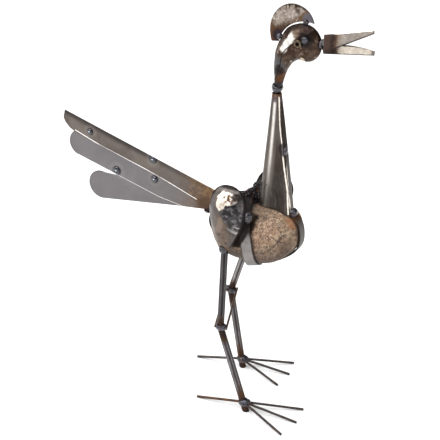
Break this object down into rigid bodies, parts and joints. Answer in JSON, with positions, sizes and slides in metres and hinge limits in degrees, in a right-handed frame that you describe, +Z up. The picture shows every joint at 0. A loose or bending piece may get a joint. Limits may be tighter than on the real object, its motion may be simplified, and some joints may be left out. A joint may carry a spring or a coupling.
{
  "type": "roadrunner garden sculpture",
  "caption": "Standing garden bird welded from scrap steel round a river stone, with beaten wings, a fanned plate tail, a rolled neck, bar legs and rod toes.",
  "frame": {"origin": "centre of the box round the bird, at the floor it stands on", "axes": "+X the way the bird faces, +Y its left side, +Z up"},
  "size_m": [0.5892, 0.2258, 0.741],
  "materials": {
    "stone": "coarse-grained, worn river stone",
    "strap": "grey mill-finish flat bar",
    "neck_sheet": "rolled sheet with grinding marks",
    "head_shell": "hammered, brown heat tint, clear coat",
    "crest_plate": "cut plate with brown heat tint",
    "beak_plate": "folded plate, brown at its base",
    "eye_nut": "heat tinted",
    "wing_shell": "beaten and polished, mottled heat tint",
    "upper_blade": "brown-grey mill finish",
    "lower_blades": "grey mill finish",
    "leg_bar": "drawn round bar",
    "thin_rod": "brown, lightly rusted",
    "weld": "dark bluish weld"
  },
  "bodies": {
    "root": {"back_weld": "weld", "beak_weld": "weld", "breast_weld": "weld", "crest": "crest_plate", "crest_front_weld": "weld", "crest_rear_weld": "weld", "cross_strap": "strap", "front_brace": "thin_rod", "head": "head_shell", "left_back_toe": "thin_rod", "left_eye": "eye_nut", "left_eye_weld": "weld", "left_foot_weld": "weld", "left_hip_weld": "weld", "left_inner_toe": "thin_rod", "left_knee_weld": "weld", "left_middle_toe": "thin_rod", "left_outer_toe": "thin_rod", "left_shin": "leg_bar", "left_thigh": "leg_bar", "left_wing": "wing_shell", "left_wing_weld": "weld", "long_strap": "strap", "lower_beak": "beak_plate", "neck": "neck_sheet", "rear_brace": "thin_rod", "right_back_toe": "thin_rod", "right_eye": "eye_nut", "right_eye_weld": "weld", "right_foot_weld": "weld", "right_hip_weld": "weld", "right_inner_toe": "thin_rod", "right_knee_weld": "weld", "right_middle_toe": "thin_rod", "right_outer_toe": "thin_rod", "right_shin": "leg_bar", "right_thigh": "leg_bar", "right_wing": "wing_shell", "right_wing_weld": "weld", "seam_weld": "weld", "stone": "stone", "tail_lower": "lower_blades", "tail_middle": "lower_blades", "tail_plug_edge": "weld", "tail_plug_lower": "weld", "tail_plug_middle": "weld", "tail_plug_tip": "weld", "tail_root_weld": "weld", "tail_upper": "upper_blade", "throat_weld": "weld", "upper_beak": "beak_plate"}
  },
  "joints": []
}
